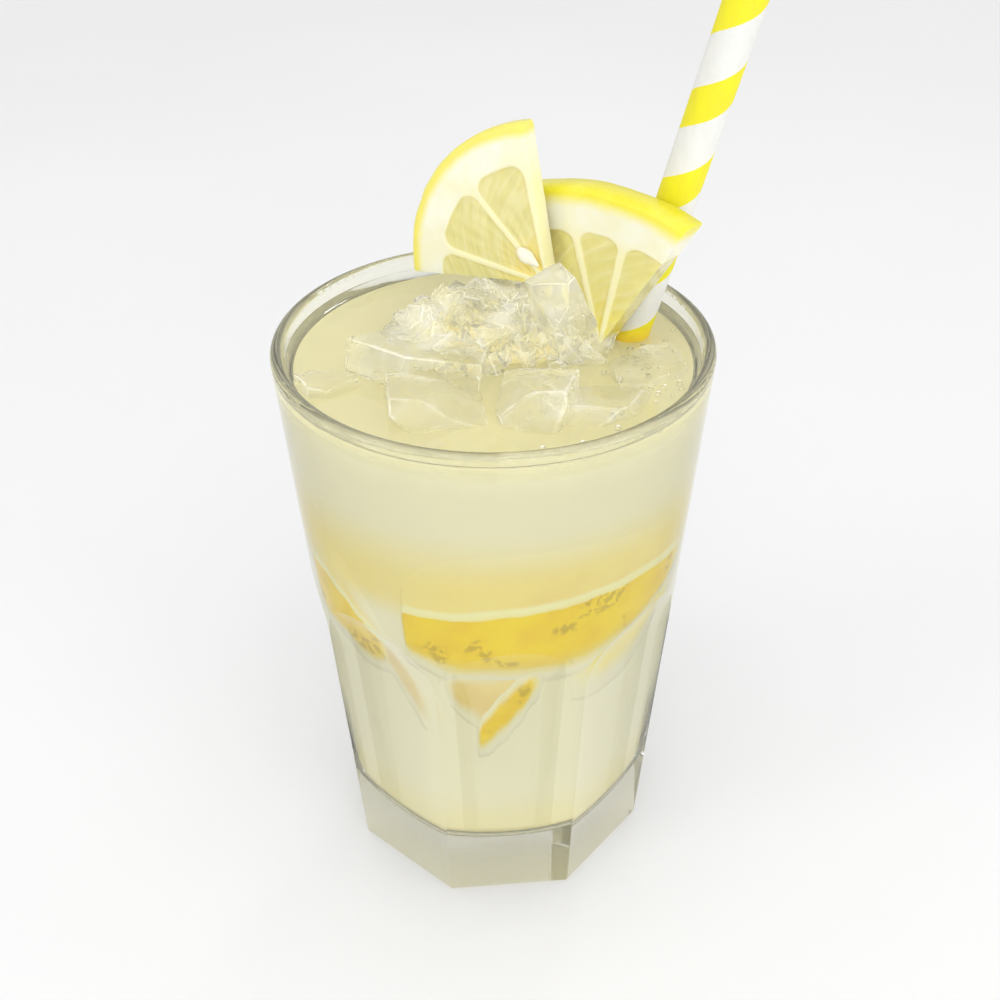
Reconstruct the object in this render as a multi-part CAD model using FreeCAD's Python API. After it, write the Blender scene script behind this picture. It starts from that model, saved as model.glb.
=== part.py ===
"""Tall faceted tumbler of iced lemonade with two lemon slices and a striped paper straw.

Millimetres, +Z up, the front towards -Y. The origin is the middle of the foot's flat
underside. The tumbler is one pressed piece: a tapering cone with eight flat facets cut
round its lower part, each ending in an arch, over a thick clear base. The lemonade fills
the cavity to just under the rim and is cut round everything that dips into it.
"""
import FreeCAD, Part
import math
import os
import random

from FreeCAD import Placement, Rotation, Vector

os.makedirs("parts", exist_ok=True)

# Tumbler
GLASS_HEIGHT = 128.0
RIM_RADIUS = 44.0
FOOT_RADIUS = 35.3
RIM_WALL = 2.5
FOOT_EDGE = 1.6
BASE_THICKNESS = 15.5
FACET_COUNT = 8
FACET_TURN = 4.7
FACET_STRAIGHT = 65.0
FACET_ARCH = 15.0
ARCH_OVERRUN = 1.3
MIDDLE_HEIGHT = 70.0
MIDDLE_FACET_WALL = 2.2
FLOOR_FACET_WALL = 3.4
FLOOR_CORNER = 5.0

# Lemonade
LEVEL_BELOW_RIM = 4.8

# Plan places are given for a drink of these radii at its level and at its floor, and
# they move in or out with the tumbler's own
PLAN_LEVEL_RADIUS = 41.0
PLAN_FLOOR_RADIUS = 30.5

# Straw: where its side next to the right slice crosses the level, and where its axis
# meets the floor
STRAW_DIAMETER = 7.7
STRAW_WALL = 0.5
STRAW_LENGTH = 197.0
STRAW_SIDE_AT_LEVEL = (25.825, 6.951)
STRAW_AT_FLOOR = (4.4, 24.6)
STRAW_END_CLEARANCE = 0.3

# Lemon slices: the corner is the middle of the fruit on the slice's front face, its
# height is above the level, and the rind runs from one angle to the other round it
RIND_STEPS = 8
LEFT_SLICE = {
    "corner": (10.8, 3.6),
    "above_level": 13.8,
    "yaw": -29.0,
    "lean_back": 1.0,
    "radius_across": 31.6,
    "radius_up": 31.6,
    "thickness": 4.0,
    "rind": (101.0, 187.0),
}
RIGHT_SLICE = {
    "corner": (21.1, 1.0),
    "above_level": 1.8,
    "yaw": -40.0,
    "lean_back": 2.0,
    "radius_across": 44.0,
    "radius_up": 31.2,
    "thickness": 6.5,
    "rind": (67.0, 130.0),
}

# Large pieces of ice: middle measured from the level, size along the piece's own axes,
# and turns about X, Y and Z
ICE_EDGE = 1.2
ICE_PIECES = {
    "ice_peak": ((12.0, -8.0, 11.5), (11.0, 11.0, 17.0), (16.0, -14.0, 38.0)),
    "ice_plate": ((-14.0, -3.0, 0.6), (25.0, 17.0, 6.0), (-4.0, 3.0, -8.0)),
    "ice_front_left": ((-11.5, -22.0, -2.0), (17.0, 14.0, 8.0), (-8.0, 4.0, 6.0)),
    "ice_front_right": ((8.0, -24.0, -1.4), (15.0, 13.0, 10.0), (-10.0, -8.0, -14.0)),
    "ice_small": ((-32.6, -11.0, -1.4), (9.0, 7.0, 6.0), (0.0, 8.0, 38.0)),
}

# Crushed ice: chips of mixed size piled highest under the left slice
HEAP_SEED = 7
HEAP_CHIPS = 26
HEAP_CHIP_SIZE = (6.0, 11.0)
HEAP_MIDDLE = (1.0, 7.0)
HEAP_REACH = (22.0, 12.0)
HEAP_RISE = 9.5
HEAP_CORE_DEPTH = 5.0
HEAP_CORE_RADIUS = 9.6
HEAP_CORE_RISE = 4.75
HEAP_WALL_CLEARANCE = 1.5

LEVEL = GLASS_HEIGHT - LEVEL_BELOW_RIM
HALF_FACET = math.radians(180.0 / FACET_COUNT)
UP = Vector(0, 0, 1)


def outer_radius(z):
    """Radius of the tumbler's cone at height z, where the ridges between facets lie."""
    return FOOT_RADIUS + (RIM_RADIUS - FOOT_RADIUS) * z / GLASS_HEIGHT


def facet_distance(z):
    """Distance of a facet's flat from the axis at height z."""
    return outer_radius(z) * math.cos(HALF_FACET)


def solid_of_turn(edges):
    """Solid made by turning a closed profile in the XZ plane about the Z axis."""
    return Part.Face(Part.Wire(edges)).revolve(Vector(0, 0, 0), UP, 360)


def line(start, end):
    return Part.LineSegment(start, end).toShape()


def arc(start, through, end):
    return Part.Arc(start, through, end).toShape()


def wall_points():
    """Inner wall's points, from the lip down to where the floor's corner begins."""
    lip_z = GLASS_HEIGHT - RIM_WALL / 2
    floor_z = BASE_THICKNESS + FLOOR_CORNER
    lip = Vector(outer_radius(lip_z) - RIM_WALL, 0, lip_z)
    middle = Vector(facet_distance(MIDDLE_HEIGHT) - MIDDLE_FACET_WALL, 0, MIDDLE_HEIGHT)
    floor = Vector(facet_distance(floor_z) - FLOOR_FACET_WALL, 0, floor_z)
    return lip, middle, floor


def cavity_edges():
    """Edges of the cavity's half profile, from the lip down to the axis."""
    lip, middle, floor = wall_points()
    corner_middle = Vector(floor.x - FLOOR_CORNER, 0, floor.z)
    bend = Vector(math.sqrt(0.5), 0, -math.sqrt(0.5)) * FLOOR_CORNER
    flat_edge = Vector(corner_middle.x, 0, BASE_THICKNESS)
    return [
        arc(lip, middle, floor),
        arc(floor, corner_middle + bend, flat_edge),
        line(flat_edge, Vector(0, 0, BASE_THICKNESS)),
    ]


def make_cavity():
    """Space inside the tumbler, up to the lip."""
    lip = wall_points()[0]
    axis_top = Vector(0, 0, lip.z)
    axis_foot = Vector(0, 0, BASE_THICKNESS)
    return solid_of_turn(cavity_edges() + [line(axis_foot, axis_top), line(axis_top, lip)])


def eased_foot(side):
    """Lower end and middle of the foot's rounded edge, which starts at the given side point."""
    middle = Vector(side.x - FOOT_EDGE, 0, FOOT_EDGE)
    bend = Vector(math.sqrt(0.5), 0, -math.sqrt(0.5)) * FOOT_EDGE
    return Vector(middle.x, 0, 0), middle + bend


def facet_cutter():
    """Prism that cuts the facet facing +X: flat, arched at its top, eased at the foot."""
    far = 2 * RIM_RADIUS
    slope = math.atan2(
        facet_distance(FACET_STRAIGHT) - facet_distance(FOOT_EDGE), FACET_STRAIGHT - FOOT_EDGE
    )
    along = Vector(math.sin(slope), 0, math.cos(slope))
    outward = Vector(math.cos(slope), 0, -math.sin(slope))
    foot = Vector(facet_distance(FOOT_EDGE), 0, FOOT_EDGE)
    foot_under, foot_bend = eased_foot(foot)
    spring = Vector(facet_distance(FACET_STRAIGHT), 0, FACET_STRAIGHT)
    arch_z = FACET_STRAIGHT + FACET_ARCH
    crown = Vector(outer_radius(arch_z), 0, arch_z)
    rise = (crown - spring).dot(along)
    run_out = (crown - spring).dot(outward)
    radius = (rise**2 + run_out**2) / (2 * run_out)
    sweep = ARCH_OVERRUN * 2 * math.atan2(run_out, rise)

    def on_arch(angle):
        return spring + along * (radius * math.sin(angle)) + outward * (radius * (1 - math.cos(angle)))

    beyond = on_arch(sweep)
    profile = [
        arc(foot_under, foot_bend, foot),
        line(foot, spring),
        arc(spring, on_arch(sweep / 2), beyond),
        line(beyond, Vector(far, 0, beyond.z)),
        line(Vector(far, 0, beyond.z), Vector(far, 0, 0)),
        line(Vector(far, 0, 0), foot_under),
    ]
    prism = Part.Face(Part.Wire(profile)).extrude(Vector(0, 2 * RIM_RADIUS, 0))
    prism.translate(Vector(0, -RIM_RADIUS, 0))
    return prism


def make_glass():
    """Tumbler: turned blank with a full-round lip, less its facets."""
    lip = wall_points()[0]
    lip_outer = Vector(lip.x + RIM_WALL, 0, lip.z)
    lip_top = Vector(lip.x + RIM_WALL / 2, 0, GLASS_HEIGHT)
    foot_side = Vector(outer_radius(FOOT_EDGE), 0, FOOT_EDGE)
    foot_under, foot_bend = eased_foot(foot_side)
    outside = [
        line(Vector(0, 0, BASE_THICKNESS), Vector(0, 0, 0)),
        line(Vector(0, 0, 0), foot_under),
        arc(foot_under, foot_bend, foot_side),
        line(foot_side, lip_outer),
        arc(lip_outer, lip_top, lip),
    ]
    blank = solid_of_turn(cavity_edges() + outside)
    cutter = facet_cutter()
    first = -90 + FACET_TURN
    cutters = []
    for index in range(FACET_COUNT):
        turned = cutter.copy()
        turned.rotate(Vector(0, 0, 0), UP, first + index * 360 / FACET_COUNT)
        cutters.append(turned)
    return blank.cut(cutters)


def wall_radius_at_level():
    lip, middle, _ = wall_points()
    share = (LEVEL - middle.z) / (lip.z - middle.z)
    return middle.x + (lip.x - middle.x) * share


def level_share():
    """How wide the drink is at its level against the width the plan places are given for."""
    return wall_radius_at_level() / PLAN_LEVEL_RADIUS


def straw_crossing():
    """Point where the straw's axis crosses the level, half its width behind the right slice."""
    side = Vector(STRAW_SIDE_AT_LEVEL[0], STRAW_SIDE_AT_LEVEL[1], 0) * level_share()
    yaw = math.radians(RIGHT_SLICE["yaw"])
    behind_slice = Vector(-math.sin(yaw), math.cos(yaw), 0)
    return side + behind_slice * (STRAW_DIAMETER / 2) + UP * LEVEL


def straw_direction():
    share = wall_points()[2].x / PLAN_FLOOR_RADIUS
    at_floor = Vector(STRAW_AT_FLOOR[0], STRAW_AT_FLOOR[1], 0) * share + UP * BASE_THICKNESS
    return (straw_crossing() - at_floor).normalize()


def straw_foot():
    """Middle of the straw's lower end, its lowest edge just clear of the floor."""
    direction = straw_direction()
    dip = STRAW_DIAMETER / 2 * math.hypot(direction.x, direction.y)
    foot_z = BASE_THICKNESS + STRAW_END_CLEARANCE + dip
    return straw_crossing() - direction * ((LEVEL - foot_z) / direction.z)


def straw_rod(radius, length):
    return Part.makeCylinder(radius, length, straw_foot(), straw_direction())


def make_straw():
    """Paper tube standing on the cavity's floor and leaning to the right and the front."""
    outside = straw_rod(STRAW_DIAMETER / 2, STRAW_LENGTH)
    return outside.cut(straw_rod(STRAW_DIAMETER / 2 - STRAW_WALL, STRAW_LENGTH))


def make_slice(slice_of):
    """Piece of a lemon slice: two straight cuts meeting at its corner, and the rind."""
    first, last = (math.radians(angle) for angle in slice_of["rind"])
    across = slice_of["radius_across"] * level_share()
    upwards = slice_of["radius_up"] * level_share()
    points = []
    for step in range(RIND_STEPS + 1):
        angle = first + (last - first) * step / RIND_STEPS
        points.append(Vector(across * math.cos(angle), upwards * math.sin(angle), 0))
    rind = Part.BSplineCurve()
    rind.interpolate(points)
    corner = Vector(0, 0, 0)
    outline = Part.Wire([line(corner, points[0]), rind.toShape(), line(points[-1], corner)])
    piece = Part.Face(outline).extrude(Vector(0, 0, -slice_of["thickness"] * level_share()))
    yaw = math.radians(slice_of["yaw"])
    lean = math.radians(slice_of["lean_back"])
    right = Vector(math.cos(yaw), math.sin(yaw), 0)
    upward = Vector(-math.sin(yaw) * math.sin(lean), math.cos(yaw) * math.sin(lean), math.cos(lean))
    facing = right.cross(upward)
    place = Vector(slice_of["corner"][0], slice_of["corner"][1], slice_of["above_level"])
    place = place * level_share() + UP * LEVEL
    piece.Placement = Placement(place, Rotation(right, upward, facing, "XYZ"))
    return piece


def make_ice(middle, size, turns):
    """Block of ice with melted, rounded edges."""
    sides = [side * level_share() for side in size]
    block = Part.makeBox(*sides, Vector(*(-side / 2 for side in sides)))
    block = block.makeFillet(ICE_EDGE, block.Edges)
    for axis, turn in zip((Vector(1, 0, 0), Vector(0, 1, 0), UP), turns):
        block.rotate(Vector(0, 0, 0), axis, turn)
    block.translate(Vector(*middle) * level_share() + UP * LEVEL)
    return block


def largest(shape):
    return max(shape.Solids, key=lambda solid: solid.Volume)


def make_heap(others):
    """Crushed ice piled round the slices: chips on a low core, fitted to its neighbours."""
    dice = random.Random(HEAP_SEED)
    share = level_share()
    middle = Vector(HEAP_MIDDLE[0], HEAP_MIDDLE[1], 0) * share + UP * LEVEL
    core_height = (HEAP_CORE_DEPTH + HEAP_CORE_RISE) * share
    core = Part.makeCylinder(HEAP_CORE_RADIUS * share, core_height, middle - UP * HEAP_CORE_DEPTH * share)
    chips = []
    for index in range(HEAP_CHIPS):
        spread = math.sqrt((index + 0.5) / HEAP_CHIPS)
        angle = index * math.pi * (3 - math.sqrt(5))
        sides = [dice.uniform(*HEAP_CHIP_SIZE) * share for _ in range(3)]
        chip = Part.makeBox(*sides, Vector(*(-side / 2 for side in sides)))
        for axis in (Vector(1, 0, 0), Vector(0, 1, 0), UP):
            chip.rotate(Vector(0, 0, 0), axis, dice.uniform(0, 90))
        across = HEAP_REACH[0] * spread * math.cos(angle)
        along = HEAP_REACH[1] * spread * math.sin(angle)
        rise = HEAP_RISE * (1 - spread**2)
        chip.translate(middle + Vector(across, along, rise) * share)
        chips.append(chip)
    mound = core.fuse(chips)
    return largest(largest(mound.common(make_clear_column())).cut(others))


def make_clear_column():
    """Upright column just inside the wall at the level, which keeps the heap off the glass."""
    radius = wall_radius_at_level() - HEAP_WALL_CLEARANCE
    return Part.makeCylinder(radius, GLASS_HEIGHT, Vector(0, 0, BASE_THICKNESS))


def make_lemonade(cavity, sunk):
    """Drink up to its level, cut round the straw and the ice that dips into it."""
    above = Part.makeBox(
        4 * RIM_RADIUS, 4 * RIM_RADIUS, GLASS_HEIGHT, Vector(-2 * RIM_RADIUS, -2 * RIM_RADIUS, LEVEL)
    )
    return largest(cavity.cut([above] + sunk))


def main():
    cavity = make_cavity()
    straw = make_straw()
    straw_space = straw_rod(STRAW_DIAMETER / 2, STRAW_LENGTH)
    slices = {
        "lemon_slice_left": make_slice(LEFT_SLICE),
        "lemon_slice_right": make_slice(RIGHT_SLICE),
    }
    ice = {name: make_ice(*settings) for name, settings in ICE_PIECES.items()}
    heap = make_heap([straw_space] + list(slices.values()) + list(ice.values()))
    sunk = [straw_space, heap] + list(slices.values()) + list(ice.values())
    nodes = {"glass": make_glass(), "straw": straw, "ice_heap": heap}
    nodes.update(slices)
    nodes.update(ice)
    nodes["lemonade"] = make_lemonade(cavity, sunk)
    for name, shape in nodes.items():
        shape.exportStep(f"parts/{name}.step")
        box = shape.optimalBoundingBox()
        print(
            f"{name}: {len(shape.Solids)} solid(s), {shape.Volume / 1000:.2f} ml, valid {shape.isValid()},"
            f" z {box.ZMin:.1f} to {box.ZMax:.1f}"
        )


main()
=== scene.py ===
"""Looks of a tall faceted tumbler of iced lemonade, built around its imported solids."""

import math
import random

import bmesh
import bpy
from mathutils import Matrix, Vector, noise


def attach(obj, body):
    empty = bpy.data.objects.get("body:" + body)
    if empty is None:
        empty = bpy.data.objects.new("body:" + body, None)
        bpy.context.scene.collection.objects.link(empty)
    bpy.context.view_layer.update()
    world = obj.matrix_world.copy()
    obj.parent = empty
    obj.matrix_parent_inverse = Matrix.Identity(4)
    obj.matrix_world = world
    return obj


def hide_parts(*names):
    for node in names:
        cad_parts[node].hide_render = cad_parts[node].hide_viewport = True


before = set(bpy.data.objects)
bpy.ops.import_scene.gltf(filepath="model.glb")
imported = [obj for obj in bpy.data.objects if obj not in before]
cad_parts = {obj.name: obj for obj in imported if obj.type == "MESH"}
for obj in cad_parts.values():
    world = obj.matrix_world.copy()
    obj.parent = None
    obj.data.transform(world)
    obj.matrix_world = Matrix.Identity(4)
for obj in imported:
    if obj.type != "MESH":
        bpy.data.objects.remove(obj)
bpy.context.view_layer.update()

# ---- Tumbler ----
# One pressed piece of clear glass, with a painted pale yellow glow of the drink in its thick
# base. Its eight flat facets end in arches and its underside is partly ground, that ground
# finish painted pale yellow as a glow of the drink's light. The cold drink has left a thin
# haze on the upper wall, and the lip is very slightly dulled with a little of that finish.

MM = 0.001
HAZE_FOOT = 78 * MM
HAZE_FULL = 104 * MM
FOOT_GLOW_TOP = 17 * MM
FOOT_GLOW_FULL = 9 * MM
GROUND_TOP = 0.35 * MM
GROUND_FULL = 0.2 * MM
GROUND_SHARE = 0.6
LIP_FOOT = 119 * MM
LIP_FULL = 125 * MM
LIP_SHARE = 0.12
WELD = 0.002 * MM


class Shade:
    """A shader output. Python's operators on it make the Math nodes."""

    def __init__(self, tree, output=None):
        self.tree = tree
        self.output = output

    def node(self, kind, settings, values, output=0):
        """Adds a node: first its settings, then a value or a link for each input."""
        made = self.tree.nodes.new(kind)
        for name, setting in settings.items():
            setattr(made, name, setting)
        for name, value in values.items():
            if isinstance(value, Shade):
                self.tree.links.new(value.output, made.inputs[name])
            else:
                made.inputs[name].default_value = value
        return Shade(self.tree, made.outputs[output] if made.outputs else None)

    def math(self, operation, *values):
        return self.node("ShaderNodeMath", {"operation": operation}, dict(enumerate(values)))

    def __add__(self, other):
        return self.math("ADD", self, other)

    def __radd__(self, other):
        return self.math("ADD", other, self)

    def __sub__(self, other):
        return self.math("SUBTRACT", self, other)

    def __rsub__(self, other):
        return self.math("SUBTRACT", other, self)

    def __mul__(self, other):
        return self.math("MULTIPLY", self, other)

    def __rmul__(self, other):
        return self.math("MULTIPLY", other, self)

    def __truediv__(self, other):
        return self.math("DIVIDE", self, other)

    def rise(self, low, high):
        """0 below low, 1 above high, smooth in between; it falls instead if low is the larger."""
        settings = {"interpolation_type": "SMOOTHSTEP"}
        return self.node("ShaderNodeMapRange", settings, {"Value": self, "From Min": low, "From Max": high})

    def blend(self, first, second):
        """Colour that goes from the first to the second as this value goes from 0 to 1."""
        return self.node("ShaderNodeMix", {"data_type": "RGBA"}, {0: self, 6: first, 7: second}, 2)

    def bump(self, strength, distance):
        values = {"Height": self, "Strength": strength, "Distance": distance}
        return self.node("ShaderNodeBump", {}, values)

    def place(self):
        return self.node("ShaderNodeTexCoord", {}, {}, "Object")

    def height(self):
        return self.node("ShaderNodeSeparateXYZ", {}, {0: self.place()}, "Z")

    def stretched(self, scale):
        return self.node("ShaderNodeMapping", {}, {"Vector": self.place(), "Scale": scale})

    def speckle(self, scale, detail=2.0, rough=0.5, where=None):
        values = {"Vector": where or self.place(), "Scale": scale, "Detail": detail, "Roughness": rough}
        return self.node("ShaderNodeTexNoise", {}, values)

    def named(self, attribute, output="Fac"):
        return self.node("ShaderNodeAttribute", {"attribute_name": attribute}, {}, output)

    def surface(self, **values):
        """Principled shader; underscores in the names stand for spaces."""
        values = {name.replace("_", " "): value for name, value in values.items()}
        return self.node("ShaderNodeBsdfPrincipled", {}, values)

    def mixed_with(self, other, share):
        """This surface with a share of another one."""
        return self.node("ShaderNodeMixShader", {}, {0: share, 1: self, 2: other})

    def lit_through(self, tint):
        """This surface for every ray but those of lamps, which pass it with a tint."""
        from_lamp = self.node("ShaderNodeLightPath", {}, {}, "Is Shadow Ray")
        return self.mixed_with(self.node("ShaderNodeBsdfTransparent", {}, {"Color": tint}), from_lamp)

    def give(self):
        self.node("ShaderNodeOutputMaterial", {}, {"Surface": self})


def new_material(name):
    """Empty material, and the start of its shader."""
    made = bpy.data.materials.new(name)
    made.use_nodes = True
    made.node_tree.nodes.clear()
    return made, Shade(made.node_tree)


def srgb(red, green, blue):
    """Shader colour of a screen colour given in 0 to 255."""
    shares = [channel / 255 for channel in (red, green, blue)]
    return tuple(s / 12.92 if s <= 0.04045 else ((s + 0.055) / 1.055) ** 2.4 for s in shares) + (1.0,)


def add_piece(name, shape, made_of, sharp=40):
    """Finished piece from a bmesh: smooth faces, and edges sharp past an angle in degrees."""
    bmesh.ops.recalc_face_normals(shape, faces=shape.faces)
    for face in shape.faces:
        face.smooth = True
    for edge in shape.edges:
        edge.smooth = not (edge.is_manifold and edge.calc_face_angle() > math.radians(sharp))
    mesh = bpy.data.meshes.new(name)
    shape.to_mesh(mesh)
    shape.free()
    mesh.materials.append(made_of)
    piece = bpy.data.objects.new(name, mesh)
    bpy.context.scene.collection.objects.link(piece)
    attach(piece, "root")
    return piece


glass, start = new_material("pressed_glass")
haze = start.height().rise(HAZE_FOOT, HAZE_FULL)
beads = start.speckle(900, 3, 0.6)
drift = start.speckle(1.0, 3, 0.6, start.stretched((60, 60, 14)))
streaks = haze * drift.rise(0.42, 0.68)
# Painted glow: the clear glass is tinted pale yellow low in its thick base, for the drink's light seen
# there.
painted_foot_glow = start.height().rise(FOOT_GLOW_TOP, FOOT_GLOW_FULL)
polished = start.surface(
    Base_Color=painted_foot_glow.blend((0.985, 0.996, 0.985, 1), (0.985, 0.975, 0.88, 1)),
    Roughness=0.012 + streaks * 0.05,
    IOR=1.5,
    Transmission_Weight=1.0,
    Normal=(streaks * beads).bump(0.16, 0.2 * MM),
)
# The ground finish is painted pale yellow, a painted glow of the drink's light reaching the foot; a little
# of it also dulls the lip.
grit = start.speckle(700, 3, 0.6)
ground = start.surface(
    Base_Color=grit.rise(0.3, 0.7).blend(srgb(255, 251, 216), srgb(252, 246, 196)),
    Roughness=0.5,
    Normal=grit.bump(0.2, 0.1 * MM),
)
underside = start.height().rise(GROUND_TOP, GROUND_FULL)
lip = start.height().rise(LIP_FOOT, LIP_FULL)
veil = underside * GROUND_SHARE + lip * LIP_SHARE
polished.mixed_with(ground, veil).lit_through((0.985, 0.99, 0.98, 1)).give()

shape = bmesh.new()
shape.from_mesh(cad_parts["glass"].data)
bmesh.ops.remove_doubles(shape, verts=shape.verts, dist=WELD)
tumbler = add_piece("tumbler", shape, glass, sharp=14)
if "custom_normal" in tumbler.data.attributes:
    tumbler.data.attributes.remove(tumbler.data.attributes["custom_normal"])
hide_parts("glass")

# ---- Lemonade ----
# Still lemonade, cloudy with fine pulp. Its clear skin wets the glass and climbs it in a
# small meniscus. The cloud in it begins a little way behind the wall and under the level.

LEVEL = 123.2 * MM
FLOOR = 15.5 * MM
WALL_POINTS = ((30.50, 20.5), (34.81, 70.0), (41.42, 126.75))
FLOOR_CORNER = 5.0 * MM
INTO_WALL = 0.12 * MM
MENISCUS_RISE = 1.7 * MM
MENISCUS_REACH = 1.4 * MM
CLOUD_DEPTH = 0.9 * MM
CLOUD_UNDER_LEVEL = 1.3 * MM
CORNER_STEPS = 8
WALL_STEPS = 64
LEVEL_STEPS = 16
STEPS_AROUND = 128
CLOUD_STEPS_AROUND = 160
LOW_BENDING = 1.333
LOW_BENDING_TOP = 26 * MM
HIGH_BENDING = 1.44
HIGH_BENDING_FOOT = 50 * MM
DRINK_LOW = srgb(246, 240, 202)
DRINK_HIGH = srgb(247, 240, 198)
DRINK_WARM_GLOW = srgb(249, 229, 130)
DRINK_TOP_SHADED = srgb(241, 234, 188)


def wall_radius(height):
    """Radius of the tumbler's inner wall, by the parabola through its three points."""
    radius = 0.0
    for index, (own, own_height) in enumerate(WALL_POINTS):
        share = own
        for other, (_, other_height) in enumerate(WALL_POINTS):
            if other != index:
                share *= (height / MM - other_height) / (own_height - other_height)
        radius += share
    return radius * MM


def drink_profile(grow, top, climb):
    """Half outline of the drink, grown past the wall or shrunk from it, as points in XZ."""
    points = [Vector((0, 0, FLOOR - grow))]
    corner_height = FLOOR + FLOOR_CORNER
    corner = wall_radius(corner_height) - FLOOR_CORNER
    reach = FLOOR_CORNER + grow
    for step in range(CORNER_STEPS + 1):
        turn = math.pi / 2 * step / CORNER_STEPS
        points.append(Vector((corner + reach * math.sin(turn), 0, corner_height - reach * math.cos(turn))))
    for step in range(1, WALL_STEPS + 1):
        z = corner_height + (top + climb - corner_height) * step / WALL_STEPS
        points.append(Vector((wall_radius(z) + grow, 0, z)))
    edge = points[-1].x
    for step in range(1, LEVEL_STEPS + 1):
        inward = edge * (step / LEVEL_STEPS) ** 3
        points.append(Vector((edge - inward, 0, top + climb * math.exp(-inward / MENISCUS_REACH))))
    points[-1].x = 0
    return points


def spun(points, steps):
    """Closed shape of turn made from a half outline that starts and ends on the axis."""
    shape = bmesh.new()
    verts = [shape.verts.new(point) for point in points]
    edges = [shape.edges.new(pair) for pair in zip(verts, verts[1:])]
    bmesh.ops.spin(
        shape,
        geom=verts + edges,
        axis=(0, 0, 1),
        cent=(0, 0, 0),
        steps=steps,
        angle=2 * math.pi,
        use_merge=True,
    )
    bmesh.ops.remove_doubles(shape, verts=shape.verts, dist=0.001 * MM)
    return shape


def drink_colour(start):
    """Colour of the cloud: pale, with a painted yellow glow over the sunk fruit at the front,
    warmer at the foot, and a painted darker shade on its top.
    """
    height = start.height()
    soft = start.speckle(34, 3, 0.5)
    level = (height + (soft - 0.5) * (16 * MM)).rise(64 * MM, 100 * MM)
    body = level.blend(DRINK_LOW, DRINK_HIGH)
    # Painted glow: a yellow haze of the sunk fruit, painted on the cloud at the front around the fruit's
    # height.
    fruit_glow = height.rise(82 * MM, 90 * MM) * height.rise(110 * MM, 92 * MM)
    front = start.node("ShaderNodeSeparateXYZ", {}, {0: start.place()}, "Y").rise(5 * MM, -20 * MM)
    foot = height.rise(34 * MM, 20 * MM)
    glow_and_foot_warmth = fruit_glow * front * (0.6 + soft * 0.8) + foot * 0.35
    # Painted shade: the top just under the level gets a darker, yellower colour than the sides.
    surface = height.rise(LEVEL - 3 * MM, LEVEL - 1.8 * MM)
    return surface.blend(glow_and_foot_warmth.blend(body, DRINK_WARM_GLOW), DRINK_TOP_SHADED)


skin, start = new_material("lemonade_skin")
ripple = start.speckle(90, 2, 0.5) * start.height().rise(LEVEL - 2 * MM, LEVEL)
liquid = [
    start.surface(
        Base_Color=(0.997, 0.996, 0.985, 1),
        Roughness=0.0,
        IOR=bending,
        Transmission_Weight=1.0,
        Normal=ripple.bump(0.35, 0.6 * MM),
    )
    for bending in (LOW_BENDING, HIGH_BENDING)
]
higher = start.height().rise(LOW_BENDING_TOP, HIGH_BENDING_FOOT)
liquid[0].mixed_with(liquid[1], higher).lit_through((0.997, 0.996, 0.985, 1)).give()
shape = spun(drink_profile(INTO_WALL, LEVEL, MENISCUS_RISE), STEPS_AROUND)
drink_skin = add_piece("lemonade_skin", shape, skin)
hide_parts("lemonade")

cloud, start = new_material("lemonade_cloud")
pulp = start.speckle(420, 4, 0.65)
start.surface(
    Base_Color=(pulp.rise(0.58, 0.74) * 0.22).blend(drink_colour(start), srgb(244, 240, 214)),
    Roughness=0.6,
    Specular_IOR_Level=0.0,
    Normal=pulp.bump(0.1, 0.4 * MM),
).give()
shape = spun(drink_profile(-CLOUD_DEPTH, LEVEL - CLOUD_UNDER_LEVEL, MENISCUS_RISE * 0.4), CLOUD_STEPS_AROUND)
add_piece("lemonade_cloud", shape, cloud)

# ---- Sunk lemon ----
# Cut pieces of the same fruit lie in the drink with their peel against the glass. Their
# edges slope back into the cloud and take on its colour, as if seen through more of it.

PEEL = srgb(254, 230, 34)
PEEL_DEEP = srgb(249, 218, 36)
PEEL_PALE = srgb(244, 222, 92)
PITH = srgb(252, 246, 184)
SUNK_FLESH = srgb(250, 232, 136)
SUNK_FLESH_DEEP = srgb(246, 223, 128)
PEEL_MARK = srgb(170, 142, 44)
WOBBLE = 0.35
INTO_SKIN = 0.06
THIN_SINKS = 1.1
END_SINKS = 2.5
END_SHARE = 1 / 40
ALWAYS = -1.0
NEVER = 3.0


def between(stations, value):
    """Numbers of the stations either side of a value, eased from one to the next."""
    for first, second in zip(stations, stations[1:]):
        if value <= second[0]:
            share = max(0.0, (value - first[0]) / (second[0] - first[0]))
            share = share * share * (3 - 2 * share) * 0.5 + share * 0.5
            return [a + (b - a) * share for a, b in zip(first[1:], second[1:])]
    return list(stations[-1][1:])


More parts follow.
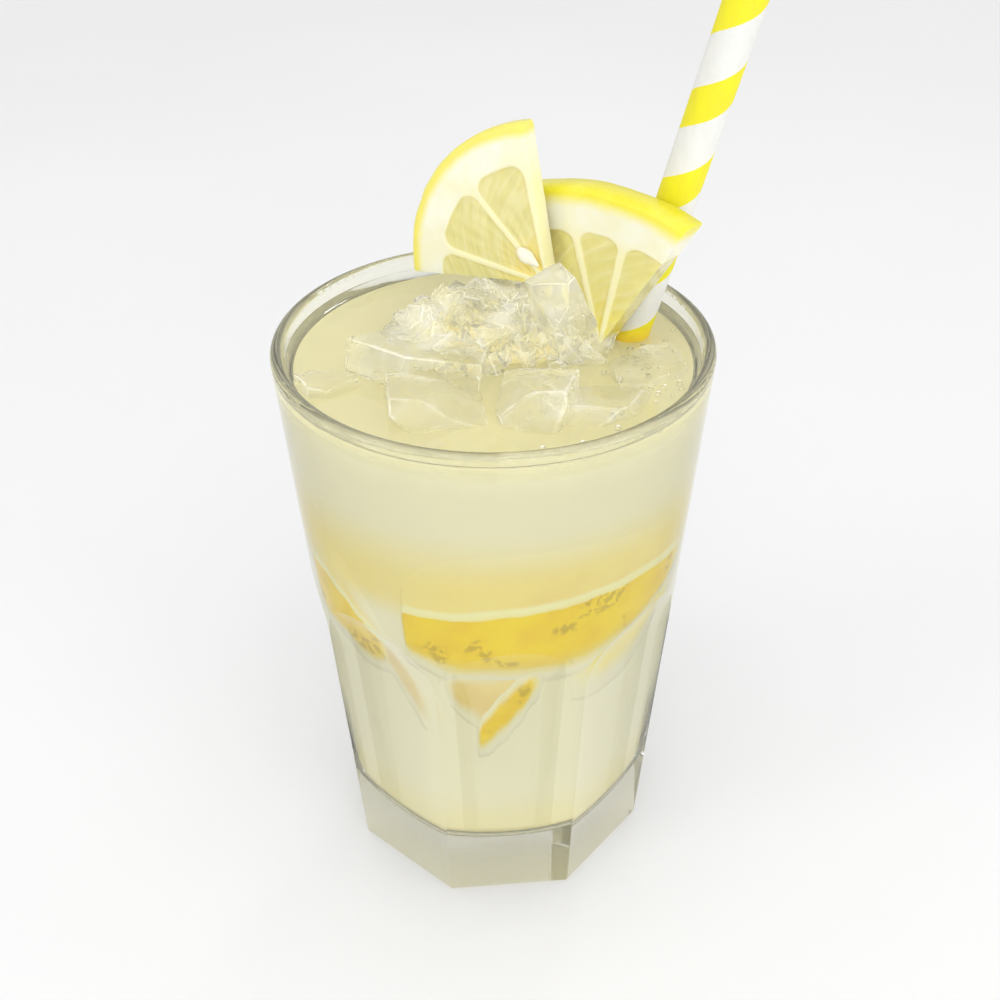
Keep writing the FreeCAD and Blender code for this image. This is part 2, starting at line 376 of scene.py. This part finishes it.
def sunk_piece(name, stations, section, made_of, ends, columns, behind=0.0):
    """Closed piece along the wall. Stations give azimuth, lower and upper edge; the section
    gives the share of that height, the rise above it in mm, the depth behind the wall in mm
    and how solid it is; ends are the shares of the length over which it thins out."""
    shape = bmesh.new()
    solid_of = shape.verts.layers.float.new("solid")
    across_of = shape.verts.layers.float.new("across")
    first, last = stations[0][0], stations[-1][0]
    rows = len(section)
    bmesh.ops.create_grid(shape, x_segments=columns, y_segments=rows, size=0.5)
    for vert in shape.verts:
        along = vert.co.x + 0.5
        row = min(rows, max(0, round((vert.co.y + 0.5) * rows)))
        share, extra, depth, solid = section[row % rows]
        azimuth = first + (last - first) * along
        low, high = between(stations, azimuth)
        wider = 1 + 0.35 * extra
        thin = max(0.0, min(1.0, along / (ends[0] * wider), (1 - along) / (ends[1] * wider)))
        closing = min(1.0, min(along, 1 - along) / END_SHARE)
        z = low + (high - low) * (0.5 + (share - 0.5) * closing) + extra * closing
        z += noise.noise(Vector((azimuth * 0.12, z * 0.3, len(name)))) * WOBBLE
        depth = (depth + behind + THIN_SINKS * (1 - thin) ** 2) * closing + END_SINKS * (1 - closing)
        radius = wall_radius(z * MM) / MM + INTO_SKIN - depth
        turn = math.radians(azimuth)
        vert.co = Vector((radius * math.sin(turn), -radius * math.cos(turn), z)) * MM
        vert[solid_of] = solid * thin
        vert[across_of] = share + extra * 0.1
    bmesh.ops.remove_doubles(shape, verts=shape.verts, dist=0.01 * MM)
    return add_piece(name, shape, made_of, sharp=70)


def sunk_material(name, peel_from, pith_from, flesh_from, flesh=SUNK_FLESH, flesh_deep=SUNK_FLESH_DEEP):
    """Peel, pith and flesh from given places across the section, lost in the drink's colour
    where the piece is less solid."""
    made, start = new_material(name)
    across = start.named("across") + (start.speckle(260, 2) - 0.5) * 0.05
    mottle = start.speckle(150, 4, 0.6)
    pores = start.speckle(1100, 2, 0.5)
    skin = mottle.rise(0.35, 0.7).blend(PEEL, PEEL_DEEP)
    skin = (across + (mottle - 0.5) * 0.3).rise(0.42, 0.12).blend(skin, PEEL_PALE)
    marks = start.speckle(110, 2, 0.5).rise(0.58, 0.64) * start.speckle(700, 3, 0.6).rise(0.46, 0.54)
    skin = (marks * 0.4).blend(skin, PEEL_MARK)
    inside = start.speckle(70, 3, 0.6).rise(0.4, 0.65).blend(flesh, flesh_deep)
    own = across.rise(peel_from - 0.03, peel_from + 0.03).blend(SUNK_FLESH, skin)
    own = across.rise(pith_from - 0.03, pith_from + 0.02).blend(own, PITH)
    own = across.rise(flesh_from - 0.04, flesh_from + 0.1).blend(own, inside)
    solid = (start.named("solid") + (mottle - 0.5) * 0.3).rise(0.1, 0.95)
    start.surface(
        Base_Color=solid.blend(drink_colour(start), own),
        Roughness=0.6,
        Specular_IOR_Level=0.0,
        Normal=((pores + mottle) * solid).bump(0.2, 0.3 * MM),
    ).give()
    return made


# Azimuth in degrees, then the lower and upper edge in mm.
WEDGE = (
    (-31, 76.5, 85.6),
    (-27, 73.5, 86.0),
    (-14, 70.4, 86.6),
    (6, 69.0, 88.4),
    (29, 70.0, 89.2),
    (46, 73.5, 89.2),
    (60, 78.5, 88.4),
    (76, 84.5, 87.4),
)
WEDGE_SECTION = (
    (0.0, -6.0, 2.4, 0.0),
    (0.0, -4.0, 1.3, 0.0),
    (0.0, -2.0, 0.75, 0.0),
    (0.0, 0.0, 0.3, 0.1),
    (0.1, 0.0, 0.12, 0.45),
    (0.22, 0.0, 0.04, 0.8),
    (0.34, 0.0, 0.0, 1.0),
    (0.5, 0.0, 0.0, 1.0),
    (0.65, 0.0, 0.0, 1.0),
    (0.8, 0.0, 0.0, 1.0),
    (0.92, 0.0, 0.0, 1.0),
    (0.99, 0.0, 0.03, 1.0),
    (1.0, 0.8, 0.06, 1.0),
    (1.0, 2.0, 0.12, 0.95),
    (1.0, 3.6, 0.2, 0.8),
    (1.0, 6.0, 0.32, 0.6),
    (1.0, 9.0, 0.48, 0.42),
    (1.0, 12.0, 0.68, 0.22),
    (1.0, 15.0, 0.9, 0.0),
    (1.0, 18.0, 1.3, 0.0),
    (1.0, 20.0, 2.4, 0.0),
    (0.5, 5.0, 3.4, 0.0),
    (0.1, -3.0, 3.2, 0.0),
)
SLIP_SECTION = (
    (0.0, -4.5, 2.4, 0.0),
    (0.0, -3.0, 1.3, 0.0),
    (0.0, -1.5, 0.7, 0.0),
    (0.0, 0.0, 0.3, 0.05),
    (0.16, 0.0, 0.1, 0.4),
    (0.32, 0.0, 0.02, 0.85),
    (0.5, 0.0, 0.0, 1.0),
    (0.68, 0.0, 0.02, 0.85),
    (0.84, 0.0, 0.1, 0.4),
    (1.0, 0.0, 0.3, 0.05),
    (1.0, 1.5, 0.7, 0.0),
    (1.0, 3.0, 1.3, 0.0),
    (1.0, 4.5, 2.4, 0.0),
    (0.5, 0.0, 3.4, 0.0),
)
LEFT_PEEL = (
    (-72, 75, 86),
    (-61, 68.5, 85),
    (-52, 64.5, 82),
    (-45, 64.5, 78.5),
    (-38, 66, 75),
    (-34, 69, 73),
)
TIP_PEEL = ((-8, 46, 54), (-4, 46.5, 59.5), (2, 50.5, 65.5), (8, 56, 70), (13, 62, 72.5), (17, 65.5, 73))
TIP_FLESH = ((-20, 63.5, 72), (-9, 56, 73), (-4, 51.5, 74), (3, 55, 74), (9, 60, 74), (15, 66, 73))
RIGHT_SLIP = ((22, 62, 78), (36, 60, 84), (49, 60, 86), (60, 64, 88), (72, 74, 88))
TAN_EDGE = ((-49, 71, 79), (-37, 64.5, 76), (-30, 58, 71.5), (-24, 52.5, 65), (-18, 50, 58))

wedge_skin = sunk_material("sunk_wedge", 0.02, 0.99, 1.16)
left_skin = sunk_material("sunk_left", 0.02, 0.99, 1.16)
tip_skin = sunk_material("sunk_tip_peel", ALWAYS, NEVER, NEVER)
tip_flesh = sunk_material("sunk_tip_flesh", NEVER, NEVER, ALWAYS, srgb(248, 228, 146), srgb(242, 216, 132))
slip_flesh = sunk_material("sunk_right_slip", NEVER, NEVER, ALWAYS, srgb(252, 236, 116), srgb(251, 231, 130))
edge_flesh = sunk_material("sunk_edge", NEVER, NEVER, ALWAYS, srgb(243, 224, 158), srgb(236, 212, 144))

sunk_piece("sunk_wedge", WEDGE, WEDGE_SECTION, wedge_skin, ends=(0.035, 0.12), columns=160)
sunk_piece("sunk_left", LEFT_PEEL, WEDGE_SECTION, left_skin, ends=(0.12, 0.2), columns=70)
sunk_piece("sunk_tip_peel", TIP_PEEL, SLIP_SECTION, tip_skin, ends=(0.1, 0.25), columns=60)
sunk_piece("sunk_tip_flesh", TIP_FLESH, SLIP_SECTION, tip_flesh, ends=(0.2, 0.2), columns=60, behind=0.25)
sunk_piece("sunk_right_slip", RIGHT_SLIP, SLIP_SECTION, slip_flesh, ends=(0.3, 0.3), columns=60, behind=0.2)
sunk_piece("sunk_edge", TAN_EDGE, SLIP_SECTION, edge_flesh, ends=(0.3, 0.3), columns=60, behind=0.3)

# ---- Ice ----
# Machine ice, partly melted: clear blocks with shallow hollows, whiter in patches, with a
# white highlight painted along their rounded edges. They float at the level or just under it,
# and one stands upright.

# Name, middle from the level in mm, size in mm, turns in degrees and seed.
ICE_PIECES = (
    ("ice_peak", (13.5, -4.5, 11.8), (8.2, 7.5, 15.0), (8.0, -16.0, 30.0), 3),
    ("ice_plate", (-15.0, -2.5, 1.9), (24.0, 16.0, 6.5), (-4.0, 3.0, -8.0), 11),
    ("ice_front_left", (-11.0, -19.0, -0.4), (16.0, 13.0, 7.5), (-8.0, 4.0, 6.0), 5),
    ("ice_front_right", (8.2, -20.5, 0.3), (13.0, 12.0, 10.0), (-10.0, -8.0, -14.0), 8),
    ("ice_small", (-32.6, -11.0, -1.4), (9.0, 7.0, 6.0), (0.0, 8.0, 38.0), 2),
)
SUNK_ICE = (
    ("ice_sunk_right", (30.0, -5.0, -1.4), (13.0, 10.0, 5.0), (4.0, 3.0, 20.0), 21),
    ("ice_sunk_front", (21.0, -18.0, -1.6), (18.0, 11.0, 5.5), (-3.0, 4.0, 30.0), 23),
)
ICE_OVERSIZE = 1.16
SWELL = 0.07
FLAT_BEND = 0.45


def ice_block(size, seed, cuts, finer, melt):
    """Block of ice: a cube cut by chance planes, its edges melted round and its faces dished.
    A value on each vert is 1 on a melted edge, where a white highlight is painted, and 0 on a face."""
    dice = random.Random(seed)
    block = bmesh.new()
    bmesh.ops.create_cube(block, size=1.0)
    for _ in range(cuts):
        facing = Vector([dice.uniform(-1, 1) for _ in range(3)]).normalized()
        cut = bmesh.ops.bisect_plane(
            block,
            geom=block.verts[:] + block.edges[:] + block.faces[:],
            plane_co=facing * dice.uniform(0.44, 0.56),
            plane_no=facing,
            clear_outer=True,
        )
        edges = [part for part in cut["geom_cut"] if isinstance(part, bmesh.types.BMEdge)]
        if edges:
            bmesh.ops.contextual_create(block, geom=edges)
    bmesh.ops.scale(block, vec=size, verts=block.verts)
    bmesh.ops.remove_doubles(block, verts=block.verts, dist=0.05 * min(size))
    bmesh.ops.bevel(
        block,
        geom=block.edges[:],
        offset=melt * min(size),
        offset_type="OFFSET",
        segments=2,
        profile=0.5,
        affect="EDGES",
        clamp_overlap=True,
        material=-1,
    )
    bmesh.ops.triangulate(block, faces=block.faces)
    for _ in range(finer):
        bmesh.ops.subdivide_edges(block, edges=block.edges, cuts=1, use_grid_fill=True)
        bmesh.ops.smooth_vert(
            block, verts=block.verts, factor=0.5, use_axis_x=True, use_axis_y=True, use_axis_z=True
        )
    shift = Vector((seed * 3.1, seed * 1.7, 0))
    for vert in block.verts:
        spot = vert.co / min(size)
        swell = noise.noise(spot * 1.6 + shift) + 0.4 * noise.noise(spot * 4.5 + shift)
        vert.co += vert.co.normalized() * swell * SWELL * min(size)
    edge_glint_of = block.verts.layers.float.new("edge_glint")
    flat = FLAT_BEND / 2**finer
    for vert in block.verts:
        bend = max(edge.calc_face_angle_signed(0.0) for edge in vert.link_edges)
        vert[edge_glint_of] = min(1.0, max(0.0, bend / flat - 1))
    return block


def turned(block, turns, middle):
    """Turns a block about X, Y and Z and moves its middle to a place."""
    matrix = Matrix.Translation(middle)
    for axis, turn in zip("ZYX", reversed(turns)):
        matrix = matrix @ Matrix.Rotation(math.radians(turn), 4, axis)
    bmesh.ops.transform(block, matrix=matrix, verts=block.verts)
    return block


ice, start = new_material("ice")
flaws = start.speckle(150, 4, 0.6)
body = start.surface(
    Base_Color=(0.998, 0.998, 0.985, 1),
    Roughness=0.01 + flaws.rise(0.55, 0.75) * 0.08,
    IOR=1.31,
    Transmission_Weight=1.0,
    Normal=start.speckle(240, 3, 0.5).bump(0.35, 0.5 * MM),
)
frost_and_glint = start.surface(
    Base_Color=flaws.rise(0.35, 0.65).blend(srgb(248, 241, 200), srgb(255, 253, 240)),
    Roughness=0.12,
    Normal=start.speckle(240, 3, 0.5).bump(0.3, 0.5 * MM),
)
edge_glint = start.named("edge_glint")
# Chance cloudy patches, plus a white highlight painted along the melted edges.
cloudy = start.speckle(90, 2, 0.5).rise(0.35, 0.75) * 0.26 + edge_glint * flaws.rise(0.3, 0.6) * 0.5 + 0.09
body.mixed_with(frost_and_glint, cloudy).lit_through((0.99, 0.99, 0.975, 1)).give()

for name, middle, size, turns, seed in ICE_PIECES + SUNK_ICE:
    block = ice_block(Vector(size) * MM * ICE_OVERSIZE, seed, cuts=6, finer=3, melt=0.14)
    place = Vector(middle) * MM + Vector((0, 0, LEVEL))
    piece = add_piece(name + "_melted", turned(block, turns, place), ice, sharp=80)
    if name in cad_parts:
        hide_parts(name)

# ---- Crushed ice ----
# Small clear chips piled on a core of packed snow-like ice, highest behind the middle.

HEAP_MIDDLE = Vector((1.0, 7.0, 0)) * MM
HEAP_REACH = (23.0, 12.5)
HEAP_RISE = 9.5
CHIPS = 130
CHIP_SIZES = (2.6, 7.0)
CORE_SIZE = Vector((19, 9.5, 7))

packed, start = new_material("packed_ice")
grain = start.speckle(300, 4, 0.6)
start.surface(
    Base_Color=grain.rise(0.35, 0.7).blend(srgb(246, 230, 158), srgb(254, 247, 206)),
    Roughness=0.25,
    Coat_Weight=0.4,
    Coat_Roughness=0.08,
    Normal=grain.bump(0.8, 1.0 * MM),
).give()
shape = bmesh.new()
bmesh.ops.create_icosphere(shape, subdivisions=5, radius=1.0)
for vert in shape.verts:
    bulge = 1 + 0.16 * noise.noise(vert.co * 2.6) + 0.08 * noise.noise(vert.co * 7)
    vert.co = vert.co * CORE_SIZE * (bulge * MM)
bmesh.ops.translate(shape, vec=HEAP_MIDDLE + Vector((0, 0, LEVEL)), verts=shape.verts)
add_piece("packed_ice", shape, packed, sharp=80)

joined = bmesh.new()
dice = random.Random(12)
for index in range(CHIPS):
    spread = math.sqrt((index + 0.5) / CHIPS)
    turn = index * math.pi * (3 - math.sqrt(5))
    size = Vector([dice.uniform(*CHIP_SIZES) for _ in range(3)])
    chip = ice_block(size * MM, index, cuts=6, finer=1, melt=0.08)
    rise = HEAP_RISE * (1 - spread**2) + dice.uniform(-1.5, 1.0)
    place = Vector((HEAP_REACH[0] * spread * math.cos(turn), HEAP_REACH[1] * spread * math.sin(turn), rise))
    turned(chip, [dice.uniform(0, 180) for _ in range(3)], place * MM + HEAP_MIDDLE + Vector((0, 0, LEVEL)))
    scrap = bpy.data.meshes.new("chip")
    chip.to_mesh(scrap)
    chip.free()
    joined.from_mesh(scrap)
    bpy.data.meshes.remove(scrap)
chips = add_piece("crushed_ice", joined, ice, sharp=50)
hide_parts("ice_heap")

# ---- Bubbles ----
# Small bubbles from the pouring stand on the drink, gathered between the ice and the wall
# on the right, with a few strays elsewhere.

BUBBLES = 60
BUBBLE_SIZES = (0.25, 0.75)

joined = bmesh.new()
dice = random.Random(5)
for index in range(BUBBLES):
    spread = 1.0 if index % 4 else 2.6
    turn = math.radians(-14 + dice.gauss(0, 17) * spread)
    reach = min(38.5, 31.5 + dice.gauss(0, 3.6))
    radius = dice.uniform(*BUBBLE_SIZES)
    place = Vector((reach * math.cos(turn), reach * math.sin(turn), LEVEL / MM + radius * 0.3)) * MM
    matrix = Matrix.Translation(place)
    bmesh.ops.create_uvsphere(joined, u_segments=16, v_segments=10, radius=radius * MM, matrix=matrix)
add_piece("bubbles", joined, skin)

# ---- Cut lemon in the ice ----
# Two pieces cut from thick slices of one lemon stand in the crushed ice: yellow peel with
# oil pores, a white pith, thin white walls between the segments, and wet juice sacs.

SEGMENT_WALL = 0.3
SEGMENT_CORNER = 3.2
FLESH_LIMIT = 0.77
FLESH_SUNK = 0.35


def segment_depth(angle, share, radius, segments, limit):
    """How far inside a segment a point of the slice lies, in mm; below 0 it is in the pith."""
    deepest = -1.0
    for low, high in segments:
        reach = share * radius
        side = min(math.radians(angle - low), math.radians(high - angle)) * reach - SEGMENT_WALL / 2
        out = (limit - share) * radius
        if side < SEGMENT_CORNER and out < SEGMENT_CORNER:
            inside = SEGMENT_CORNER - math.hypot(SEGMENT_CORNER - side, SEGMENT_CORNER - out)
        else:
            inside = min(side, out)
        deepest = max(deepest, inside)
    return deepest


def lemon_material(name, flesh, flesh_centre, peel, peel_from, shaded_from, shaded_full):
    """Peel, pith, segment walls and juice sacs of a cut lemon, by its own attributes. The last two
    numbers set where along the slice the peel turns a painted olive shade, where the other
    slice shades it.
    """
    made, start = new_material(name)
    inside = start.named("inside")
    share = start.named("share")
    polar = start.named("polar", "Vector")
    sacs = start.node("ShaderNodeTexVoronoi", {}, {"Vector": polar, "Scale": 1.0}, "Distance")
    mottle = start.speckle(120, 4, 0.6)
    pores = start.node("ShaderNodeTexVoronoi", {}, {"Vector": start.place(), "Scale": 1000}, "Distance")
    flesh_mix = (share + (mottle - 0.5) * 0.25).rise(0.42, 0.1).blend(flesh, flesh_centre)
    flesh_mix = (sacs.rise(0.42, 0.8) * 0.22).blend(flesh_mix, srgb(250, 246, 208))
    flesh_mix = (mottle.rise(0.56, 0.75) * 0.35).blend(flesh_mix, srgb(222, 214, 150))
    pith = mottle.rise(0.3, 0.7).blend(srgb(247, 246, 230), srgb(243, 240, 206))
    edge = (share + (mottle - 0.5) * 0.03).rise(peel_from, 0.965)
    rim = (mottle.rise(0.35, 0.75) * 0.45).blend(peel, srgb(250, 245, 120))
    # Painted shade: the peel darkens to olive towards one end of the slice.
    rim = (start.named("turn").rise(shaded_from, shaded_full) * 0.6).blend(rim, srgb(190, 190, 50))
    pith = (share + (mottle - 0.5) * 0.1).rise(0.62, 0.8).blend(srgb(248, 242, 196), pith)
    own = edge.blend(pith, rim)
    own = inside.rise(0.0, 0.55).blend(own, flesh_mix)
    skin = share.rise(0.95, 0.99)
    relief = sacs * inside.rise(0.1, 0.8) * 1.2 + pores.rise(0.0, 0.5) * skin * 0.6 + mottle * 0.4
    start.surface(
        Base_Color=own,
        Roughness=0.42 - inside.rise(0.0, 0.6) * 0.26 - skin * 0.1,
        Subsurface_Weight=0.45,
        Subsurface_Radius=(2.6 * MM, 2.2 * MM, 0.9 * MM),
        Subsurface_Scale=1.0,
        Coat_Weight=inside.rise(0.1, 0.6) * 0.5,
        Coat_Roughness=0.1,
        Normal=relief.bump(0.4, 0.5 * MM),
    ).give()
    return made


def lemon_slice(name, corner, yaw, lean, across, upward, thickness, rind, segments, limit, made_of):
    """Slice piece: a fan-shaped grid from the fruit's middle to the rind, given its thickness."""
    shape = bmesh.new()
    inside_of = shape.verts.layers.float.new("inside")
    share_of = shape.verts.layers.float.new("share")
    turn_of = shape.verts.layers.float.new("turn")
    polar_of = shape.verts.layers.float_vector.new("polar")
    bmesh.ops.create_grid(shape, x_segments=130, y_segments=110, size=0.5)
    for vert in shape.verts:
        along = vert.co.x + 0.5
        share = (vert.co.y + 0.5) ** 0.85
        angle = rind[0] + (rind[1] - rind[0]) * along
        turn = math.radians(angle)
        waver = 1 + 0.006 * noise.noise(Vector((angle * 0.11, thickness, 0))) * share
        inside = segment_depth(angle, share, (across + upward) / 2, segments, limit)
        relief = -FLESH_SUNK * min(1.0, max(0.0, inside / 0.8))
        relief += 0.22 * noise.noise(Vector((angle * 0.16, share * 9, 1.0))) * min(1.0, max(0.0, inside))
        spot = Vector((across * share * math.cos(turn), upward * share * math.sin(turn), 0))
        relief += 0.12 * noise.noise(spot * 0.4)
        relief -= 0.9 * max(0.0, (share - 0.96) / 0.04) ** 2
        vert.co = spot * waver + Vector((0, 0, relief))
        vert[inside_of] = inside
        vert[share_of] = share
        vert[turn_of] = along
        vert[polar_of] = Vector((angle * 0.16 * (0.35 + share), share * 5.5, thickness))
    bmesh.ops.remove_doubles(shape, verts=shape.verts, dist=0.001)
    back = bmesh.ops.extrude_face_region(shape, geom=shape.faces[:])
    for vert in back["geom"]:
        if isinstance(vert, bmesh.types.BMVert):
            vert.co.z = -thickness - vert.co.z
            vert[polar_of].z += 9
    yaw, lean = math.radians(yaw), math.radians(lean)
    right = Vector((math.cos(yaw), math.sin(yaw), 0))
    up = Vector((-math.sin(yaw) * math.sin(lean), math.cos(yaw) * math.sin(lean), math.cos(lean)))
    matrix = Matrix((right, up, right.cross(up))).transposed().to_4x4()
    matrix.translation = Vector(corner) + Vector((0, 0, LEVEL / MM))
    bmesh.ops.transform(shape, matrix=Matrix.Scale(MM, 4) @ matrix, verts=shape.verts)
    return add_piece(name, shape, made_of, sharp=60), matrix


left_lemon = lemon_material(
    "left_lemon", srgb(228, 220, 148), srgb(246, 226, 122), srgb(241, 229, 110), 0.9, 1.6, 1.7
)
right_lemon = lemon_material(
    "right_lemon", srgb(230, 221, 144), srgb(234, 220, 114), srgb(240, 230, 54), 0.86, 0.9, 1.05
)
left_slice, left_frame = lemon_slice(
    "left_lemon_slice",
    corner=(10.8, 3.6, 13.8),
    yaw=-29.0,
    lean=1.0,
    across=31.6,
    upward=31.6,
    thickness=4.0,
    rind=(101.0, 187.0),
    segments=((104.0, 135.5), (137.0, 172.5), (174.0, 205.0)),
    limit=FLESH_LIMIT,
    made_of=left_lemon,
)
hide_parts("lemon_slice_left")
right_slice, _ = lemon_slice(
    "right_lemon_slice",
    corner=(21.1, 1.0, 1.8),
    yaw=-40.0,
    lean=2.0,
    across=44.0,
    upward=31.2,
    thickness=6.5,
    rind=(67.0, 130.0),
    segments=((48.0, 82.0), (83.5, 103.0), (104.5, 128.5)),
    limit=0.74,
    made_of=right_lemon,
)
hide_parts("lemon_slice_right")

# ---- Seed ----
# One seed, half out of its pocket in the left slice: pointed, smooth and cream.

SEED_PLACE = Vector((-4.7, 5.2, 0.4))
SEED_SIZE = Vector((2.35, 1.45, 1.1))
SEED_TURN = -28.0

seed_skin, start = new_material("lemon_seed")
start.surface(
    Base_Color=start.speckle(500, 3).rise(0.3, 0.7).blend(srgb(255, 252, 240), srgb(248, 236, 204)),
    Roughness=0.3,
    Subsurface_Weight=0.3,
    Subsurface_Scale=1 * MM,
    Coat_Weight=0.3,
).give()
shape = bmesh.new()
bmesh.ops.create_uvsphere(shape, u_segments=40, v_segments=24, radius=1.0)
for vert in shape.verts:
    point = max(0.0, vert.co.x)
    vert.co.y *= 1 - 0.45 * point**2
    vert.co.z *= 1 - 0.45 * point**2
    vert.co = vert.co * SEED_SIZE
    vert.co.x += 0.8 * point**3
turning = Matrix.Rotation(math.radians(SEED_TURN), 3, "Z")
bmesh.ops.rotate(shape, cent=(0, 0, 0), matrix=turning, verts=shape.verts)
bmesh.ops.translate(shape, vec=SEED_PLACE, verts=shape.verts)
bmesh.ops.transform(shape, matrix=Matrix.Scale(MM, 4) @ left_frame, verts=shape.verts)
add_piece("lemon_seed", shape, seed_skin)

# ---- Straw ----
# Wound paper straw, yellow and white in one spiral band. It stands just clear of the floor
# of the tumbler, leans to the right and is wet up to the level of the drink.

STRAW_RADIUS = 3.85
STRAW_WALL = 0.5
STRAW_LENGTH = 197.0
STRAW_AT_LEVEL = Vector((28.3, 9.9, 123.2))
STRAW_AT_FLOOR = Vector((4.4, 24.6, 15.5))
STRAW_CLEARANCE = 0.3
BAND_PITCH = 18.0
BAND_SHARE = 0.44
BAND_START = 0.46
ROWS_ALONG = 60
COLUMNS_AROUND = 64

paper, start = new_material("straw_paper")
around = start.named("around")
along = start.named("along")
turns = along / BAND_PITCH + around + BAND_START
phase = turns.math("FRACT", turns)
fray = (start.speckle(700, 3) - 0.5) * 0.012
band = (phase + fray).rise(0.0, 0.014) * (phase + fray).rise(BAND_SHARE + 0.007, BAND_SHARE - 0.007)
fibre = start.speckle(1.0, 4, 0.6, start.stretched((500, 500, 160)))
ink = fibre.rise(0.3, 0.75).blend(srgb(240, 232, 26), srgb(234, 222, 40))
white = fibre.rise(0.3, 0.8).blend(srgb(234, 234, 230), srgb(227, 227, 222))
wet = start.height().rise(LEVEL + 5 * MM, LEVEL - 1 * MM)
dry_colour = band.blend(white, ink)
wet_colour = band.blend(srgb(240, 234, 196), srgb(248, 214, 60))
seam = (turns * 2).math("FRACT", turns * 2).rise(0.0, 0.02)
start.surface(
    Base_Color=wet.blend(dry_colour, wet_colour),
    Roughness=0.62 - wet * 0.25,
    Normal=(fibre * 0.5 + seam * 0.3).bump(0.25, 0.12 * MM),
).give()

lean = (STRAW_AT_LEVEL - STRAW_AT_FLOOR).normalized()
dip = STRAW_RADIUS * math.hypot(lean.x, lean.y)
foot = STRAW_AT_LEVEL - lean * ((STRAW_AT_LEVEL.z - STRAW_AT_FLOOR.z - STRAW_CLEARANCE - dip) / lean.z)
shape = bmesh.new()
along_of = shape.verts.layers.float.new("along")
around_of = shape.loops.layers.float.new("around")
inner = STRAW_RADIUS - STRAW_WALL
outline = [(STRAW_RADIUS, STRAW_LENGTH * step / ROWS_ALONG) for step in range(ROWS_ALONG + 1)]
outline += [(inner, STRAW_LENGTH * (1 - step / ROWS_ALONG)) for step in range(ROWS_ALONG + 1)]
bmesh.ops.create_grid(shape, x_segments=COLUMNS_AROUND, y_segments=len(outline), size=0.5)
for face in shape.faces:
    for corner in face.loops:
        corner[around_of] = corner.vert.co.x + 0.5
for vert in shape.verts:
    radius, height = outline[round((vert.co.y + 0.5) * len(outline)) % len(outline)]
    turn = 2 * math.pi * (vert.co.x + 0.5)
    vert.co = Vector((radius * math.sin(turn), radius * math.cos(turn), height))
    vert[along_of] = height
bmesh.ops.remove_doubles(shape, verts=shape.verts, dist=0.01)
leaning = lean.to_track_quat("Z", "Y").to_matrix().to_4x4()
leaning.translation = foot
bmesh.ops.transform(shape, matrix=Matrix.Scale(MM, 4) @ leaning, verts=shape.verts)
straw = add_piece("paper_straw", shape, paper, sharp=60)
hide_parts("straw")

# ---- Table, light and camera ----
# A plain pale table under wide soft lamps, and a camera looking down on the glass.

shape = bmesh.new()
bmesh.ops.create_grid(shape, x_segments=1, y_segments=1, size=4.0)
floor_mesh = bpy.data.meshes.new("table")
shape.to_mesh(floor_mesh)
shape.free()
table_top, start = new_material("table_top")
start.surface(
    Base_Color=start.speckle(3, 3).rise(0.2, 0.8).blend(srgb(244, 244, 245), srgb(248, 248, 248)),
    Roughness=0.6,
    Specular_IOR_Level=0.2,
).give()
floor_mesh.materials.append(table_top)
table = bpy.data.objects.new("table", floor_mesh)
table.location = (0, 0, -0.02 * MM)
bpy.context.scene.collection.objects.link(table)

CAMERA_PLACE = (0.0, -228.63, 250.05)
CAMERA_PITCH = 35.33
CAMERA_YAW = 0.29
CAMERA_ROLL = -0.31
CAMERA_LENS = 46.8
BOUNCES = 10
LAMPS = (
    ("overhead", (0.0, -0.55, 1.05), 0.8, 1.65),
    ("left", (-0.9, -0.4, 0.6), 0.35, 1.1),
    ("right", (0.9, -0.7, 0.45), 0.6, 2.0),
    ("back", (0.3, 0.7, 0.9), 0.1, 0.4),
    ("front", (0.1, -1.2, 0.45), 1.0, 3.4),
)
for name, place, size, power in LAMPS:
    light = bpy.data.lights.new(name, "AREA")
    light.size = size
    light.energy = power
    lamp = bpy.data.objects.new(name, light)
    lamp.location = place
    lamp.rotation_euler = Vector(place).to_track_quat("Z", "Y").to_euler()
    bpy.context.scene.collection.objects.link(lamp)

world = bpy.data.worlds.new("studio")
world.use_nodes = True
world.node_tree.nodes.clear()
start = Shade(world.node_tree)
direction = start.node("ShaderNodeTexCoord", {}, {}, "Generated")
upward = start.node("ShaderNodeSeparateXYZ", {}, {0: direction}, "Z")
sky = upward.rise(0.0, 0.18).blend((0.84, 0.85, 0.84, 1), (1.0, 1.0, 1.0, 1))
room = start.node("ShaderNodeBackground", {}, {"Color": sky, "Strength": 0.82})
room.node("ShaderNodeOutputWorld", {}, {"Surface": room})
bpy.context.scene.world = world
bpy.context.scene.cycles.max_bounces = BOUNCES
bpy.context.scene.cycles.diffuse_bounces = 3
bpy.context.scene.cycles.transmission_bounces = BOUNCES
bpy.context.scene.cycles.transparent_max_bounces = 24
bpy.context.scene.view_settings.view_transform = "Standard"

camera_data = bpy.data.cameras.new("camera")
camera_data.lens = CAMERA_LENS
camera_data.clip_start = 0.01
camera = bpy.data.objects.new("camera", camera_data)
camera.location = Vector(CAMERA_PLACE) * MM
yaw = Matrix.Rotation(math.radians(-CAMERA_YAW), 3, "Z")
pitch = Matrix.Rotation(math.radians(90 - CAMERA_PITCH), 3, "X")
roll = Matrix.Rotation(math.radians(CAMERA_ROLL), 3, "Z")
camera.rotation_euler = (yaw @ pitch @ roll).to_euler()
bpy.context.scene.collection.objects.link(camera)
bpy.context.scene.camera = camera
